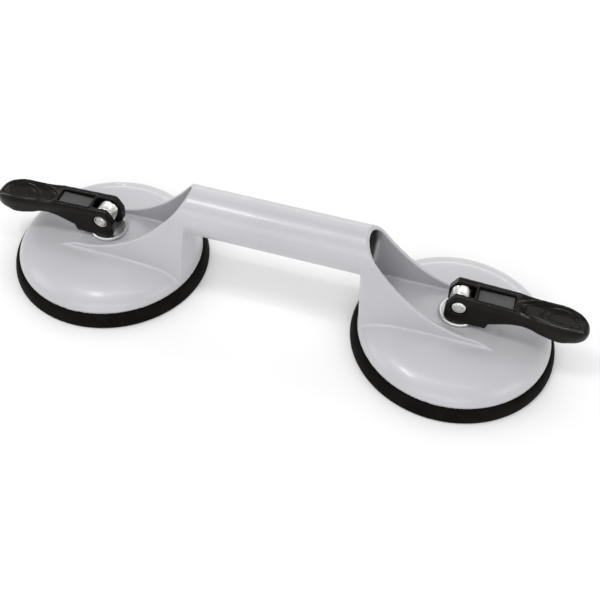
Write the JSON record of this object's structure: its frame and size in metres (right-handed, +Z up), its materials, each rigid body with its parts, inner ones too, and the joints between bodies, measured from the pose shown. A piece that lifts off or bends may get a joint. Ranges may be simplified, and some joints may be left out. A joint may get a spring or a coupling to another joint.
{
  "type": "double vacuum suction cup lifter",
  "caption": "Hand-held glass lifter: a cast aluminium tube handle joins two rubber suction cups, each clamped by a black cam lever on a pull stud",
  "frame": {"origin": "on the ground, midway between the two cups", "axes": "+X from the left cup to the right cup along the handle, +Y across the handle, +Z up away from the surface the pads stand on"},
  "size_m": [0.3586, 0.12, 0.0711],
  "materials": {
    "casting": "smooth light-grey lacquer over die-cast aluminium",
    "rubber": "matt black moulded rubber",
    "bush": "off-white acetal",
    "washer": "bright zinc-plated steel",
    "spring": "drawn spring steel",
    "plate": "zinc-plated steel",
    "stud": "bright nickel-plated steel",
    "lever": "black moulded plastic, satin gloss",
    "panel": "dark grey matt inlay"
  },
  "bodies": {
    "root": {"body_casting": "casting", "left_rubber_pad": "rubber", "right_rubber_pad": "rubber", "left_guide_bush": "bush", "right_guide_bush": "bush", "left_wear_washer": "washer", "right_wear_washer": "washer", "left_return_spring": "spring", "right_return_spring": "spring"},
    "left_pull": {"left_pull_stud": "stud", "left_pad_plate": "plate", "left_stud_nut": "plate", "left_pivot_pin": "stud", "left_pin_retainer": "stud"},
    "right_pull": {"right_pull_stud": "stud", "right_pad_plate": "plate", "right_stud_nut": "plate", "right_pivot_pin": "stud", "right_pin_retainer": "stud"},
    "left_cam_lever": {"left_lever": "lever", "left_lever_panel": "panel"},
    "right_cam_lever": {"right_lever": "lever", "right_lever_panel": "panel"}
  },
  "joints": [
    {"name": "left_pad_release", "type": "slide", "parent": "root", "child": "left_pull", "axis": [0, 0, -1], "range_m": [0, 0.00332], "deforming": ["left_return_spring", "left_rubber_pad"]},
    {"name": "right_pad_release", "type": "slide", "parent": "root", "child": "right_pull", "axis": [0, 0, -1], "range_m": [0, 0.00332], "deforming": ["right_return_spring", "right_rubber_pad"]},
    {"name": "left_lever_turn", "type": "hinge", "parent": "left_pull", "child": "left_cam_lever", "pos_m": [-0.108, 0, 0.0372], "axis": [0, 1, 0], "range_deg": [0, 100]},
    {"name": "right_lever_turn", "type": "hinge", "parent": "right_pull", "child": "right_cam_lever", "pos_m": [0.108, 0, 0.0372], "axis": [0, -1, 0], "range_deg": [0, 100]}
  ],
  "couplings": [
    {"joint": "left_lever_turn", "follows": "left_pad_release", "rad_per_m": 526.3},
    {"joint": "right_lever_turn", "follows": "right_pad_release", "rad_per_m": 526.3}
  ]
}
